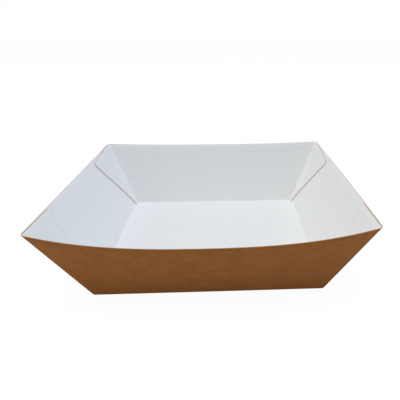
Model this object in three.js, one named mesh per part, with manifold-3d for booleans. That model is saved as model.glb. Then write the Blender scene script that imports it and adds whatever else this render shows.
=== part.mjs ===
// Paper food tray: one sheet of kraft board, die cut, creased and folded up.
// Millimetres, +Z up. The long walls stand at +Y and -Y, the short walls at +X and -X.
// The underside of the floor lies on z = 0, centred on the origin.

import * as THREE from 'three';
import ManifoldModule from 'manifold-3d';

const wasm = await ManifoldModule();
wasm.setup();

// Sheet
const board = 0.45;

// Floor, from crease to crease
const floorLength = 138;
const floorWidth = 112;

// Rim, from corner fold to corner fold
const rimLength = 180;
const rimWidth = 138;
const cornerHeight = 51;

// Between its corners each wall's top edge swings outward and dips
const longBow = 8.4;
const longDip = 4.4;
const longPower = 2.5;
const shortBow = 3.8;
const shortDip = 3.6;
const shortPower = 2.2;

// Folds
const creaseTangent = 1;
const cornerRoundFloor = 2.6;
const cornerRoundRim = 1.1;

// Corner flaps: each long wall carries one at either end, glued inside the short wall
const glueBite = 0.3 * board;
const flapFoot = 0.8;
const flapTipInset = 21;
const flapTipShare = 0.93;
const flapTipRound = 3.7;

// Short walls reach a little way over the corner folds, and run under the floor's edge
const seamShare = 0.8;
const footLength = 2;

// Mesh steps
const longSteps = 22;
const shortSteps = 18;
const wallRows = 8;
const creaseRows = 3;
const foldSteps = 5;
const flapSteps = 8;
const flapStraightShare = 5 / 8;

const lerp = THREE.MathUtils.lerp;
const halfFloorX = floorLength / 2;
const halfFloorY = floorWidth / 2;
const halfRimX = rimLength / 2;
const halfRimY = rimWidth / 2;
const shortSlant = Math.hypot(halfRimX - halfFloorX, cornerHeight);
const shortFlare = Math.atan2(halfRimX - halfFloorX, cornerHeight);
const flapStep = (board - glueBite) / Math.cos(shortFlare);
const creaseShare = creaseTangent / shortSlant;

// Half the distance between the corner folds at the height share v
function halfX(v) {
  return lerp(halfFloorX, halfRimX, v);
}

function halfY(v) {
  return lerp(halfFloorY, halfRimY, v);
}

// Distance from the sharp corner at which the corner fold starts to turn
function cornerRound(v) {
  return lerp(cornerRoundFloor, cornerRoundRim, v);
}

// Outer face of the long wall at +Y: t runs -1 to 1 along it, v runs 0 to 1 up it
function longWall(t, v) {
  const swell = 1 - Math.abs(t) ** longPower;
  return new THREE.Vector3(
    t * halfX(v),
    halfY(v) + v * longBow * swell,
    v * (cornerHeight - longDip * swell),
  );
}

// Face of the short wall at +X, moved inward by the given depth along X
function shortWall(t, v, depth) {
  const swell = 1 - Math.abs(t) ** shortPower;
  return new THREE.Vector3(
    halfX(v) + v * shortBow * swell - depth,
    t * halfY(v),
    v * (cornerHeight - shortDip * swell),
  );
}

// Point at share u of the curve that leaves a and reaches b, with both tangents meeting at corner
function bend(a, corner, b, u) {
  return new THREE.QuadraticBezierCurve3(a, corner, b).getPoint(u);
}

// Outer face of the long wall and of the two folds at its ends.
// Column s runs -1 to 1 along the wall, 1 to 2 round the +X fold and -1 to -2 round the -X fold.
function foldedWall(s, v) {
  const round = cornerRound(v);
  const wallEnd = 1 - round / halfX(v);
  const side = Math.sign(s);
  const along = Math.abs(s);
  if (along <= 1) {
    return longWall(s * wallEnd, v);
  }
  const flapStart = 1 - round / halfY(v);
  const start = longWall(wallEnd, v);
  const corner = shortWall(1, v, flapStep);
  const end = shortWall(flapStart, v, flapStep);
  const point = bend(start, corner, end, along - 1);
  point.x *= side;
  return point;
}

// Level direction from the crease toward the middle of the floor, at column s
function inward(s) {
  const turn = (Math.max(Math.abs(s), 1) - 1) * (Math.PI / 2);
  return new THREE.Vector3(-Math.sign(s) * Math.sin(turn), -Math.cos(turn), 0);
}

// One column of points, from the floor, round the crease and up to the rim
function column(crease, level, wallPoint) {
  const floorEnd = crease.clone().addScaledVector(level, creaseTangent);
  const wallStart = wallPoint(creaseShare);
  const points = [];
  for (let row = 0; row <= creaseRows; row += 1) {
    points.push(bend(floorEnd, crease, wallStart, row / creaseRows));
  }
  for (let row = 1; row <= wallRows; row += 1) {
    points.push(wallPoint(lerp(creaseShare, 1, row / wallRows)));
  }
  return points;
}

// Columns of the long wall and its two corner folds
function longColumns() {
  const places = [];
  for (let step = 0; step < foldSteps; step += 1) {
    places.push(-2 + step / foldSteps);
  }
  for (let step = 0; step <= longSteps; step += 1) {
    places.push(-1 + (2 * step) / longSteps);
  }
  for (let step = 1; step <= foldSteps; step += 1) {
    places.push(1 + step / foldSteps);
  }
  return places.map((s) => column(foldedWall(s, 0), inward(s), (v) => foldedWall(s, v)));
}

// Flap outline in flat coordinates: x is the distance from the floor's corner, y the height share.
// Each side is walked by a share 0 to 1, and both free sides end at the middle of the rounded tip.
function flapOutline() {
  const foot = new THREE.Vector2(cornerRound(creaseShare) + flapFoot, creaseShare);
  const tip = new THREE.Vector2(flapTipInset, flapTipShare);
  const top = new THREE.Vector2(halfFloorY - halfRimY + cornerRoundRim, 1);
  const flat = (p, q) => Math.hypot(p.x - q.x, (p.y - q.y) * shortSlant);
  const edgeEnd = tip.clone().lerp(foot, flapTipRound / flat(tip, foot));
  const topEnd = tip.clone().lerp(top, flapTipRound / flat(tip, top));
  const walk = (from, end, other, share) => {
    if (share <= flapStraightShare) {
      return from.clone().lerp(end, share / flapStraightShare);
    }
    const round = (share - flapStraightShare) / (1 - flapStraightShare);
    return new THREE.QuadraticBezierCurve(end, tip, other).getPoint(round / 2);
  };
  const fold = (share) => {
    const v = lerp(creaseShare, 1, share);
    return new THREE.Vector2(halfFloorY - halfY(v) + cornerRound(v), v);
  };
  return {
    fold,
    bottom: (share) => fold(0).lerp(foot, share),
    free: (share) => walk(foot, edgeEnd, topEnd, share),
    top: (share) => walk(top, topEnd, edgeEnd, share),
  };
}

// Point inside the flap, blended from its four sides
function flapPoint(outline, across, up) {
  const sides = outline.fold(up).multiplyScalar(1 - across);
  sides.addScaledVector(outline.free(up), across);
  sides.addScaledVector(outline.bottom(across), 1 - up);
  sides.addScaledVector(outline.top(across), up);
  sides.addScaledVector(outline.fold(0), -(1 - across) * (1 - up));
  sides.addScaledVector(outline.fold(1), -(1 - across) * up);
  sides.addScaledVector(outline.free(0), -across * (1 - up));
  sides.addScaledVector(outline.free(1), -across * up);
  const t = (halfFloorY - sides.x) / halfY(sides.y);
  return shortWall(t, sides.y, flapStep);
}

// Columns of the flap at the +X end, in order away from the corner fold
function flapColumns() {
  const outline = flapOutline();
  const columns = [];
  for (let step = 1; step <= flapSteps; step += 1) {
    const points = [];
    for (let row = 0; row <= wallRows; row += 1) {
      points.push(flapPoint(outline, step / flapSteps, row / wallRows));
    }
    columns.push(points);
  }
  return columns;
}

// Flap columns hang beside the wall rows only, so they get empty places for the crease rows
function padded(columns) {
  return columns.map((points) => [...Array(creaseRows).fill(null), ...points]);
}

function mirroredX(columns) {
  return columns.map((points) => points.map((point) => point.clone().setX(-point.x))).reverse();
}

// Columns of the short wall at +X, walked from +Y to -Y, with a foot that lies in the floor
function shortColumns() {
  const columns = [];
  const level = new THREE.Vector3(-1, 0, 0);
  for (let step = 0; step <= shortSteps; step += 1) {
    const s = 1 - (2 * step) / shortSteps;
    const wallPoint = (v) => shortWall(s * (1 - (seamShare * cornerRound(v)) / halfY(v)), v, 0);
    const points = column(wallPoint(0), level, wallPoint);
    points.unshift(points[0].clone().addScaledVector(level, footLength));
    columns.push(points);
  }
  return columns;
}

// Normals of a grid of columns, from the neighbours of each point; level rows face straight down
function gridNormals(columns, levelRows) {
  return columns.map((points, c) => points.map((point, r) => {
    if (!point) {
      return null;
    }
    if (r < levelRows) {
      return new THREE.Vector3(0, 0, -1);
    }
    const before = columns[c - 1]?.[r] ?? point;
    const after = columns[c + 1]?.[r] ?? point;
    const below = points[r - 1] ?? point;
    const above = points[r + 1] ?? point;
    const along = after.clone().sub(before);
    return above.clone().sub(below).cross(along).normalize();
  }));
}

// A sheet is a list of points with normals and the triangles of its outer face
function newSheet() {
  return { points: [], normals: [], faces: [] };
}

function addPoint(sheet, point, normal) {
  sheet.points.push(point);
  sheet.normals.push(normal);
  return sheet.points.length - 1;
}

// Adds a grid of columns and returns the numbers of its points
function addGrid(sheet, columns, levelRows) {
  const normals = gridNormals(columns, levelRows);
  const ids = columns.map((points, c) => points.map((point, r) => (
    point ? addPoint(sheet, point, normals[c][r]) : null
  )));
  for (let c = 0; c + 1 < columns.length; c += 1) {
    for (let r = 0; r + 1 < columns[c].length; r += 1) {
      const cell = [ids[c][r], ids[c][r + 1], ids[c + 1][r + 1], ids[c + 1][r]];
      if (cell.every((id) => id !== null)) {
        sheet.faces.push([cell[0], cell[1], cell[3]], [cell[1], cell[2], cell[3]]);
      }
    }
  }
  return ids;
}

// Closed solid of board thickness behind the outer face of a sheet
function thicken(sheet) {
  const count = sheet.points.length;
  const inner = sheet.points.map((point, i) => point.clone().addScaledVector(sheet.normals[i], -board));
  const faces = [];
  const edges = new Map();
  for (const [a, b, c] of sheet.faces) {
    faces.push([a, b, c], [c + count, b + count, a + count]);
    for (const [from, to] of [[a, b], [b, c], [c, a]]) {
      edges.set(`${from} ${to}`, [from, to]);
    }
  }
  for (const [from, to] of edges.values()) {
    if (!edges.has(`${to} ${from}`)) {
      faces.push([to, from, from + count], [to, from + count, to + count]);
    }
  }
  const vertProperties = new Float32Array([...sheet.points, ...inner].flatMap((p) => p.toArray()));
  const triVerts = new Uint32Array(faces.flat());
  return new wasm.Manifold(new wasm.Mesh({ numProp: 3, vertProperties, triVerts }));
}

// Floor, both long walls and their four flaps, as one sheet
function floorWithLongWalls() {
  const sheet = newSheet();
  const flap = flapColumns();
  const back = [...padded(mirroredX(flap)), ...longColumns(), ...padded(flap)];
  const front = back.map((points) => points.map((point) => (
    point ? new THREE.Vector3(-point.x, -point.y, point.z) : null
  )));
  const middle = addPoint(sheet, new THREE.Vector3(0, 0, 0), new THREE.Vector3(0, 0, -1));
  const loop = [];
  for (const wall of [back, front]) {
    const ids = addGrid(sheet, wall, 1);
    loop.push(...ids.map((rows) => rows[0]).filter((id) => id !== null));
  }
  loop.forEach((id, i) => sheet.faces.push([middle, id, loop[(i + 1) % loop.length]]));
  return thicken(sheet);
}

// One short wall; the other is the same turned half round
function shortWallSolid() {
  const sheet = newSheet();
  addGrid(sheet, shortColumns(), 2);
  return thicken(sheet);
}

function foldedTray() {
  const shortSide = shortWallSolid();
  const otherSide = shortSide.rotate([0, 0, 180]);
  return wasm.Manifold.union([floorWithLongWalls(), shortSide, otherSide]);
}

function toMesh(solid, name, material) {
  const { vertProperties, triVerts } = solid.getMesh();
  const geometry = new THREE.BufferGeometry();
  geometry.setAttribute('position', new THREE.BufferAttribute(new Float32Array(vertProperties), 3));
  geometry.setIndex(new THREE.BufferAttribute(new Uint32Array(triVerts), 1));
  geometry.computeVertexNormals();
  const mesh = new THREE.Mesh(geometry, material);
  mesh.name = name;
  return mesh;
}

const kraftBoard = new THREE.MeshStandardMaterial({ color: 0x8a5a34, roughness: 0.85, metalness: 0 });

const tray = new THREE.Group();
tray.name = 'paper_food_tray';
tray.add(toMesh(foldedTray(), 'folded_tray', kraftBoard));

export default tray;
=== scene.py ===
import math

import bmesh
import bpy
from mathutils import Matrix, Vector


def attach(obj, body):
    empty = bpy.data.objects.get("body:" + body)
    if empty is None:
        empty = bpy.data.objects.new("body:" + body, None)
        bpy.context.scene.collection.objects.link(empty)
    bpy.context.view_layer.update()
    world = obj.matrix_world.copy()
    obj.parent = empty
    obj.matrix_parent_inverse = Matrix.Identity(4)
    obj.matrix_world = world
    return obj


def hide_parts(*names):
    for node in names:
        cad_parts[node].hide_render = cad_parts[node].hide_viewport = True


# Paper food tray: one sheet of kraft board with a white inside, folded up and glued at its corners.
# Sizes are in metres. The long walls stand at +Y and -Y, the short walls at +X and -X.

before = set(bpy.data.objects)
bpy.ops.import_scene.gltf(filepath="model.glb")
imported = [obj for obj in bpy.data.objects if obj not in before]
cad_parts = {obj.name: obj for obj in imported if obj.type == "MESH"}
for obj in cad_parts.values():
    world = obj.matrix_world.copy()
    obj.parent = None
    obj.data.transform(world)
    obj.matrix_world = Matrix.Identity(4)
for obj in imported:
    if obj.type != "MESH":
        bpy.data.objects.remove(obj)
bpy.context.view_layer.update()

MM = 0.001

# Sheet
BOARD = 0.45 * MM
GLUE_GAP = 0.05 * MM
CUT_ROUND = 0.16 * MM
CUT_ROUND_STEPS = 2

# Floor, from crease to crease, and rim, from corner fold to corner fold
FLOOR_X = 69 * MM
FLOOR_Y = 56 * MM
RIM_X = 90 * MM
RIM_Y = 69 * MM
HEIGHT = 51 * MM

# Between its corners each wall's top edge swings outward and dips
LONG_BOW = 8.4 * MM
LONG_DIP = 4.4 * MM
LONG_POWER = 2.5
SHORT_BOW = 3.8 * MM
SHORT_DIP = 3.6 * MM
SHORT_POWER = 2.2

# Folds, and the height above which the cut edges are clear of those in the floor corners
CORNER_ROUND_FLOOR = 2.6 * MM
CORNER_ROUND_RIM = 1.1 * MM
CREASE = 1 * MM
CLEAR_OF_FOLDS = 2.5 * MM

# Corner flaps, glued inside the short walls
FLAP_FOOT = 0.8 * MM
FLAP_TIP_INSET = 21 * MM
FLAP_TIP_SHARE = 0.93
FLAP_TIP_ROUND = 3.4 * MM

# How the flaps are glued: the share of a top edge that stays level with the rim, how much of the way
# up to the rim each tip is raised, and how the raising fades out below
FLAP_LEVEL_SHARE = 0.25
FRONT_FLAP_LIFT = 0.9
LEFT_FLAP_LIFT = 0.35
RIGHT_FLAP_LIFT = 0
FLAP_LIFT_START = 0.2
FLAP_LIFT_POWER = 4

# Cuts that make the panels fine enough to curve
ROWS = 11
LONG_COLUMNS = 47
SHORT_COLUMNS = 35
FLAP_COLUMNS = 7
ROUND_STEPS = 6
CREASE_STEPS = 4
SMOOTH_ANGLE = math.radians(35)

# The flaps lie one board and a glue gap inside the short walls, measured along X
SHORT_FLARE = math.atan2(RIM_X - FLOOR_X, HEIGHT)
FLAP_DEPTH = (BOARD + GLUE_GAP) / math.cos(SHORT_FLARE)
SHEET_FLOOR_X = FLOOR_X - FLAP_DEPTH
SHEET_RIM_X = RIM_X - FLAP_DEPTH
CREASE_SHARE = CREASE / math.hypot(RIM_X - FLOOR_X, HEIGHT)
FLAP_TIP_Y = FLOOR_Y - FLAP_TIP_INSET

# Margin within which a point counts as lying at a place
TINY = 0.002 * MM

# Material slots of the tray
INSIDE_SLOT = 1
CUT_EDGE_SLOT = 2

# Grain of the board. A fibre is about 0.03 mm wide, too fine to show, so flocs of fibres are drawn.
KRAFT_FLOC = 1.43 * MM
KRAFT_CLOUD = 9.1 * MM
LINER_GRAIN = 2 * MM
LINER_WAVE = 14.3 * MM
CORE_FLOC = 0.4 * MM

# Studio: the floor lies just under the tray, and each softbox is a square of cloth
STUDIO_FLOOR_SIZE = 6
STUDIO_FLOOR_DROP = 0.05 * MM
STUDIO_FLOOR_GLOW = 1.08
STUDIO_FLOOR_WHITE_SHARE = 0.88
DAYLIGHT = 0.31
SOFTBOX_SIZE = 0.8
TOP_LAMP_HEIGHT = 1.2
SIDE_LAMP_REACH = 1.1
SIDE_LAMP_HEIGHT = 0.6

# Camera at the photograph's viewing angle
CAMERA_PLACE = (0.01071, -0.21052, 0.14427)
CAMERA_TURN = (math.radians(65.218), math.radians(-0.161), math.radians(-2.482))
CAMERA_LENS = 30.38
CAMERA_SENSOR = 36
CAMERA_SHIFT = (-0.1, -0.05)
CAMERA_NEAREST = 0.01


# Modelling helpers

def select_only(kind, wanted):
    """Select just the points or the edges that pass the test, in edit mode."""
    bpy.ops.mesh.select_mode(type=kind)
    bpy.ops.mesh.select_all(action="DESELECT")
    shell = bmesh.from_edit_mesh(bpy.context.object.data)
    items = {"VERT": shell.verts, "EDGE": shell.edges}[kind]
    for item in items:
        if wanted(item):
            item.select_set(True)
    shell.select_flush_mode()
    bmesh.update_edit_mesh(bpy.context.object.data)


def middle(edge):
    return (edge.verts[0].co + edge.verts[1].co) / 2


def span(edge):
    """How far an edge reaches along X, Y and Z."""
    reach = edge.verts[1].co - edge.verts[0].co
    return Vector((abs(reach.x), abs(reach.y), abs(reach.z)))


def resize(x=1.0, y=1.0, center=(0, 0, 0)):
    bpy.ops.transform.resize(value=(x, y, 1), center_override=center)


def pull_out(rise=0.0):
    """Extrude what is selected and lift the new edges."""
    bpy.ops.mesh.extrude_region_move(TRANSFORM_OT_translate={"value": (0, 0, rise)})


def is_upright(edge):
    return span(edge).z > HEIGHT / 2


# The folded sheet. A height share v runs from 0 at the floor to 1 at the corners of the rim.

def half_length(v):
    """Outer face of the short walls at a height share, before they bow."""
    return FLOOR_X + (RIM_X - FLOOR_X) * v


def half_width(v):
    """Outer face of the long walls at a height share, before they bow."""
    return FLOOR_Y + (RIM_Y - FLOOR_Y) * v


def cut_floor():
    """Floor panel inside its creases, with a round at each corner where the folds run out."""
    bpy.ops.mesh.primitive_plane_add(size=1)
    sheet = bpy.context.object
    sheet.name = "kraft_tray"
    bpy.ops.object.mode_set(mode="EDIT")
    bpy.ops.mesh.select_all(action="SELECT")
    resize(2 * (SHEET_FLOOR_X - CREASE), 2 * (FLOOR_Y - CREASE))
    bpy.ops.mesh.bevel(offset=CORNER_ROUND_FLOOR - CREASE, segments=ROUND_STEPS, affect="VERTICES")
    return sheet


def crease_outline(floor_x, rim_x, turn):
    """Half length, half width and height of the outline where the crease has turned by this share."""
    rise = turn ** 2 * CREASE_SHARE
    flat = (1 - turn) ** 2 * CREASE
    return Vector((floor_x - flat + rise * (rim_x - floor_x),
                   FLOOR_Y - flat + rise * (RIM_Y - FLOOR_Y),
                   rise * HEIGHT))


def fold_up(floor_x, rim_x):
    """Pull the selected edges out round the crease and then straight up to the rim."""
    outline = crease_outline(floor_x, rim_x, 0)
    stops = [crease_outline(floor_x, rim_x, step / CREASE_STEPS) for step in range(1, CREASE_STEPS + 1)]
    for stop in stops + [Vector((rim_x, RIM_Y, HEIGHT))]:
        pull_out(stop.z - outline.z)
        resize(stop.x / outline.x, stop.y / outline.y)
        outline = stop


def raise_long_walls():
    """Both long walls, each with the rounded folds at its ends, which tighten towards the rim."""
    select_only("EDGE", lambda e: abs(middle(e).x) < SHEET_FLOOR_X - CREASE - TINY)
    fold_up(SHEET_FLOOR_X, SHEET_RIM_X)
    floor_round = CORNER_ROUND_FLOOR - CREASE
    for x in (-SHEET_RIM_X, SHEET_RIM_X):
        for y in (-RIM_Y, RIM_Y):
            corner = Vector((x, y, HEIGHT))
            select_only("VERT", lambda v: (v.co - corner).length < 2 * CORNER_ROUND_FLOOR)
            resize(CORNER_ROUND_RIM / (floor_round * SHEET_RIM_X / (SHEET_FLOOR_X - CREASE)),
                   CORNER_ROUND_RIM / (floor_round * RIM_Y / (FLOOR_Y - CREASE)), center=corner)


def fold_in_flaps():
    """A flap at each end of both long walls, from the fold's edge to a slanted free edge."""
    select_only("EDGE", lambda e: e.is_boundary and is_upright(e))
    pull_out()
    narrow = 1 - FLAP_FOOT / (FLOOR_Y - CORNER_ROUND_FLOOR)
    resize(y=narrow)
    top_y = narrow * (RIM_Y - CORNER_ROUND_RIM)
    tip_x = SHEET_FLOOR_X + (SHEET_RIM_X - SHEET_FLOOR_X) * FLAP_TIP_SHARE
    select_only("VERT", lambda v: v.co.z > HEIGHT / 2 and abs(abs(v.co.y) - top_y) < TINY
                and abs(v.co.x) > SHEET_RIM_X - TINY)
    resize(tip_x / SHEET_RIM_X, FLAP_TIP_Y / top_y)
    bpy.ops.transform.translate(value=(0, 0, (FLAP_TIP_SHARE - 1) * HEIGHT))


def raise_short_walls():
    """Both short walls, one board further out than the folds that they cover."""
    select_only("EDGE", lambda e: e.is_boundary and span(e).y > FLOOR_Y)
    pull_out()
    resize((FLOOR_X - CREASE) / (SHEET_FLOOR_X - CREASE))
    fold_up(FLOOR_X, RIM_X)


def is_flap_end(edge):
    """True for the bottom and top edges of a flap, while the sheet is still uncut."""
    if not edge.is_boundary or is_upright(edge):
        return False
    place = middle(edge)
    reach = span(edge)
    # The top is clear of the rounded folds at the rim, and the foot is wider than a step of a crease
    is_top = place.z > HEIGHT / 2 and abs(place.y) < RIM_Y - 3 * CORNER_ROUND_RIM
    is_foot = TINY < place.z < HEIGHT / 2 and reach.y > FLAP_FOOT / 2
    return reach.x < RIM_X - FLOOR_X and reach.y < FLOOR_Y and (is_top or is_foot)


def cut_panels():
    """Rows and columns of cuts, so that every panel can curve."""
    select_only("EDGE", is_flap_end)
    bpy.ops.mesh.subdivide(number_cuts=FLAP_COLUMNS)
    select_only("EDGE", is_upright)
    bpy.ops.mesh.subdivide(number_cuts=ROWS)
    select_only("EDGE", lambda e: span(e).x > FLOOR_X)
    bpy.ops.mesh.subdivide(number_cuts=LONG_COLUMNS)
    select_only("EDGE", lambda e: span(e).y > FLOOR_Y)
    bpy.ops.mesh.subdivide(number_cuts=SHORT_COLUMNS)


def round_flap_tips():
    tip_z = FLAP_TIP_SHARE * HEIGHT
    select_only("VERT", lambda v: v.is_boundary and abs(abs(v.co.y) - FLAP_TIP_Y) < TINY
                and abs(v.co.z - tip_z) < TINY)
    bpy.ops.mesh.bevel(offset=FLAP_TIP_ROUND, segments=ROUND_STEPS, affect="VERTICES")


def tip_lift(x, y):
    """How much of the way from its cut height to the rim the flap's tip at this corner is raised."""
    if y < 0:
        return FRONT_FLAP_LIFT
    return LEFT_FLAP_LIFT if x < 0 else RIGHT_FLAP_LIFT


def is_on_flap(place, v):
    """True for the layer one board inside the short walls, above where the lift starts."""
    depth = half_length(v) - abs(place.x)
    return v > FLAP_LIFT_START and abs(depth - FLAP_DEPTH) < FLAP_DEPTH / 2


def lift_flaps(sheet):
    """Raise the flaps' top edges as they are glued: level with the rim at first, then down to the tip."""
    for point in sheet.data.vertices:
        x, y, z = point.co
        v = z / HEIGHT
        if is_on_flap(point.co, v):
            from_fold = (half_width(v) - abs(y)) / (half_width(v) - FLAP_TIP_Y)
            from_fold = min(max(from_fold, 0.0), 1.0)
            level = min(from_fold, (1 - from_fold) * FLAP_LEVEL_SHARE / (1 - FLAP_LEVEL_SHARE))
            level = max(level, from_fold * tip_lift(x, y))
            fade = min(v / FLAP_TIP_SHARE, 1) ** FLAP_LIFT_POWER
            lift = (1 - FLAP_TIP_SHARE) * HEIGHT * level * fade
            point.co.z += lift
            point.co.x += math.copysign(lift * (RIM_X - FLOOR_X) / HEIGHT, x)


def swell(share, power):
    """How far a wall has bowed, from 0 at its ends to 1 at its middle."""
    return max(0.0, 1 - abs(share) ** power)


def bow_walls(sheet):
    """Swing the top edges outward and down between the corners, fading to nothing at the creases."""
    for point in sheet.data.vertices:
        x, y, z = point.co
        v = z / HEIGHT
        long_swell = v * swell(x / half_length(v), LONG_POWER)
        short_swell = v * swell(y / half_width(v), SHORT_POWER)
        point.co.x += math.copysign(SHORT_BOW * short_swell, x)
        point.co.y += math.copysign(LONG_BOW * long_swell, y)
        point.co.z -= LONG_DIP * long_swell + SHORT_DIP * short_swell


def fold_sheet():
    """The whole sheet folded up, still without thickness, with its outer face outward."""
    sheet = cut_floor()
    raise_long_walls()
    fold_in_flaps()
    raise_short_walls()
    cut_panels()
    round_flap_tips()
    bpy.ops.mesh.select_all(action="SELECT")
    bpy.ops.mesh.normals_make_consistent(inside=False)
    bpy.ops.object.mode_set(mode="OBJECT")
    lift_flaps(sheet)
    bow_walls(sheet)
    return sheet


def give_thickness(sheet):
    """Board thickness, inward from the outer face, with slots of their own inside and on the cut edges."""
    layer = sheet.modifiers.new("board", "SOLIDIFY")
    layer.thickness = BOARD
    layer.offset = -1
    layer.use_even_offset = True
    layer.use_quality_normals = True
    layer.material_offset = INSIDE_SLOT
    layer.material_offset_rim = CUT_EDGE_SLOT
    bpy.ops.object.modifier_apply(modifier=layer.name)


def is_cut_corner(edge):
    """True where a cut edge of the board meets one of its faces, clear of the folds in the floor corners."""
    slots = {face.material_index for face in edge.link_faces}
    return CUT_EDGE_SLOT in slots and len(slots) == 2 and middle(edge).z > CLEAR_OF_FOLDS


def round_cut_edges():
    """The knife drags both faces of the board a little over its brown core along every cut."""
    bpy.ops.object.mode_set(mode="EDIT")
    select_only("EDGE", is_cut_corner)
    bpy.ops.mesh.bevel(offset=CUT_ROUND, segments=CUT_ROUND_STEPS, affect="EDGES", clamp_overlap=False,
                       material=CUT_EDGE_SLOT)
    bpy.ops.object.mode_set(mode="OBJECT")


# Material helpers

def linear(code):
    """Linear colour of an sRGB hex code."""
    channels = [int(code[i:i + 2], 16) / 255 for i in (1, 3, 5)]
    return [c / 12.92 if c <= 0.04045 else ((c + 0.055) / 1.055) ** 2.4 for c in channels] + [1]


def add_node(tree, kind, settings=None, **sockets):
    """Add a node with its settings. A name such as _0 is a socket's number, and outputs are linked."""
    node = tree.nodes.new(kind)
    for name, value in (settings or {}).items():
        setattr(node, name, value)
    for name, value in sockets.items():
        socket = node.inputs[int(name[1:])] if name[1:].isdigit() else node.inputs[name.replace("_", " ")]
        if isinstance(value, bpy.types.NodeSocket):
            tree.links.new(value, socket)
        else:
            socket.default_value = value
    return node


def new_material(name):
    material = bpy.data.materials.new(name)
    material.use_nodes = True
    material.node_tree.nodes.clear()
    return material, material.node_tree


# Materials. A mix node takes its two colours at sockets 6 and 7 and gives the blend at output 2.

def unbleached_kraft():
    """Brown kraft liner: long fibres felted flat, so it is matt and finely mottled."""
    material, tree = new_material("unbleached_kraft")
    place = add_node(tree, "ShaderNodeTexCoord").outputs["Object"]
    fibres = add_node(tree, "ShaderNodeTexNoise", Vector=place, Scale=1 / KRAFT_FLOC, Detail=4,
                      Roughness=0.6, Distortion=1.2).outputs[0]
    clouds = add_node(tree, "ShaderNodeTexNoise", Vector=place, Scale=1 / KRAFT_CLOUD, Detail=3).outputs[0]
    mottle = add_node(tree, "ShaderNodeMix", {"data_type": "FLOAT"}, Factor=0.35, A=fibres, B=clouds)
    spread = add_node(tree, "ShaderNodeMapRange", Value=mottle.outputs[0], From_Min=0.35, From_Max=0.65)
    brown = add_node(tree, "ShaderNodeMix", {"data_type": "RGBA"}, Factor=spread.outputs[0],
                     _6=linear("#925822"), _7=linear("#AB6D2E"))
    felt = add_node(tree, "ShaderNodeBump", Height=fibres, Strength=0.35, Distance=0.05 * MM)
    kraft = add_node(tree, "ShaderNodeBsdfPrincipled", Base_Color=brown.outputs[2], Roughness=0.88,
                     Specular_IOR_Level=0.35, Normal=felt.outputs[0])
    add_node(tree, "ShaderNodeOutputMaterial", Surface=kraft.outputs[0])
    return material


def bleached_liner():
    """White food side: bleached pulp under a thin clear film, smooth with a soft shine."""
    material, tree = new_material("bleached_liner")
    place = add_node(tree, "ShaderNodeTexCoord").outputs["Object"]
    grain = add_node(tree, "ShaderNodeTexNoise", Vector=place, Scale=1 / LINER_GRAIN, Detail=3).outputs[0]
    waves = add_node(tree, "ShaderNodeTexNoise", Vector=place, Scale=1 / LINER_WAVE, Detail=2).outputs[0]
    white = add_node(tree, "ShaderNodeMix", {"data_type": "RGBA"}, Factor=grain,
                     _6=linear("#EDEEEE"), _7=linear("#F7F7F6"))
    fine = add_node(tree, "ShaderNodeBump", Height=grain, Strength=0.2, Distance=0.03 * MM)
    wavy = add_node(tree, "ShaderNodeBump", Height=waves, Strength=0.3, Distance=0.1 * MM,
                    Normal=fine.outputs[0])
    liner = add_node(tree, "ShaderNodeBsdfPrincipled", Base_Color=white.outputs[2], Roughness=0.42,
                     Normal=wavy.outputs[0])
    add_node(tree, "ShaderNodeOutputMaterial", Surface=liner.outputs[0])
    return material


def kraft_core():
    """Cut edge of the board: the brown fibre core, rough where the knife went through."""
    material, tree = new_material("kraft_core")
    place = add_node(tree, "ShaderNodeTexCoord").outputs["Object"]
    fibres = add_node(tree, "ShaderNodeTexNoise", Vector=place, Scale=1 / CORE_FLOC, Detail=2).outputs[0]
    brown = add_node(tree, "ShaderNodeMix", {"data_type": "RGBA"}, Factor=fibres,
                     _6=linear("#A97843"), _7=linear("#C4935A"))
    rough = add_node(tree, "ShaderNodeBump", Height=fibres, Strength=0.3, Distance=0.05 * MM)
    core = add_node(tree, "ShaderNodeBsdfPrincipled", Base_Color=brown.outputs[2], Roughness=0.9,
                    Normal=rough.outputs[0])
    add_node(tree, "ShaderNodeOutputMaterial", Surface=core.outputs[0])
    return material


# Floor, light and camera

def sees_backdrop(tree):
    """1 for rays by which the camera or a reflection sees the studio, 0 for those that light the tray."""
    path = add_node(tree, "ShaderNodeLightPath").outputs
    reflected = add_node(tree, "ShaderNodeMath", {"operation": "MAXIMUM"},
                         _0=path["Is Glossy Ray"], _1=path["Is Transmission Ray"]).outputs[0]
    return add_node(tree, "ShaderNodeMath", {"operation": "MAXIMUM"},
                    _0=path["Is Camera Ray"], _1=reflected).outputs[0]


def pale_floor():
    """White paper sweep: it looks white, catches a faint shadow and throws light back like white paper."""
    bpy.ops.mesh.primitive_plane_add(size=STUDIO_FLOOR_SIZE, location=(0, 0, -STUDIO_FLOOR_DROP))
    floor = bpy.context.object
    floor.name = "floor"
    material, tree = new_material("white_paper_floor")
    paper = add_node(tree, "ShaderNodeBsdfDiffuse", Color=linear("#EFEFEF")).outputs[0]
    white = add_node(tree, "ShaderNodeEmission", Color=linear("#FFFFFF"),
                     Strength=STUDIO_FLOOR_GLOW).outputs[0]
    veil = add_node(tree, "ShaderNodeMath", {"operation": "MULTIPLY"},
                    _0=sees_backdrop(tree), _1=STUDIO_FLOOR_WHITE_SHARE).outputs[0]
    surface = add_node(tree, "ShaderNodeMixShader", _0=veil, _1=paper, _2=white).outputs[0]
    add_node(tree, "ShaderNodeOutputMaterial", Surface=surface)
    floor.data.materials.append(material)


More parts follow.
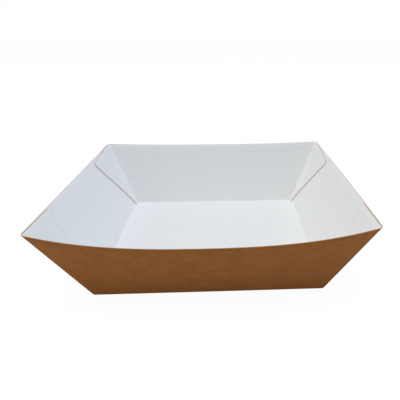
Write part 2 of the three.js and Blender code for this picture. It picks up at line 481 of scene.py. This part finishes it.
def softbox(name, place, watts, colour):
    """A square lamp that faces the tray."""
    bpy.ops.object.light_add(type="AREA", location=place)
    lamp = bpy.context.object
    lamp.name = name
    lamp.data.shape = "SQUARE"
    lamp.data.size = SOFTBOX_SIZE
    lamp.data.energy = watts
    lamp.data.color = linear(colour)[:3]
    lamp.rotation_euler = (-Vector(place)).to_track_quat("-Z", "Y").to_euler()


def light_tray():
    """Plain daylight from all round, a white backdrop and three softboxes, bluish from the right."""
    world = bpy.data.worlds.new("studio")
    bpy.context.scene.world = world
    world.use_nodes = True
    tree = world.node_tree
    tree.nodes.clear()
    daylight = add_node(tree, "ShaderNodeBackground", Color=linear("#F9FBFF"), Strength=DAYLIGHT).outputs[0]
    white = add_node(tree, "ShaderNodeBackground", Color=linear("#FFFFFF"), Strength=1.0).outputs[0]
    sky = add_node(tree, "ShaderNodeMixShader", _0=sees_backdrop(tree), _1=daylight, _2=white).outputs[0]
    add_node(tree, "ShaderNodeOutputWorld", Surface=sky)
    softbox("top_softbox", (0, 0, TOP_LAMP_HEIGHT), 6.7, "#F7FBFF")
    softbox("right_softbox", (SIDE_LAMP_REACH, 0, SIDE_LAMP_HEIGHT), 2.6, "#BAD9FF")
    softbox("left_softbox", (-SIDE_LAMP_REACH, 0, SIDE_LAMP_HEIGHT), 3.0, "#FFF8EA")


def place_camera():
    data = bpy.data.cameras.new("camera")
    camera = bpy.data.objects.new("camera", data)
    bpy.context.scene.collection.objects.link(camera)
    camera.location = CAMERA_PLACE
    camera.rotation_euler = CAMERA_TURN
    data.sensor_width = CAMERA_SENSOR
    data.lens = CAMERA_LENS
    data.shift_x, data.shift_y = CAMERA_SHIFT
    data.clip_start = CAMERA_NEAREST
    bpy.context.scene.camera = camera


# The scene

def build_tray():
    """The finished tray: folded, dressed in its three materials and thickened."""
    tray = fold_sheet()
    for finish in (unbleached_kraft(), bleached_liner(), kraft_core()):
        tray.data.materials.append(finish)
    give_thickness(tray)
    round_cut_edges()
    bpy.ops.object.shade_smooth_by_angle(angle=SMOOTH_ANGLE)
    return tray


place_camera()
bpy.ops.object.select_all(action="DESELECT")
tray = build_tray()
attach(tray, "root")
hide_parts("folded_tray")

pale_floor()
light_tray()
bpy.context.scene.view_settings.view_transform = "Standard"
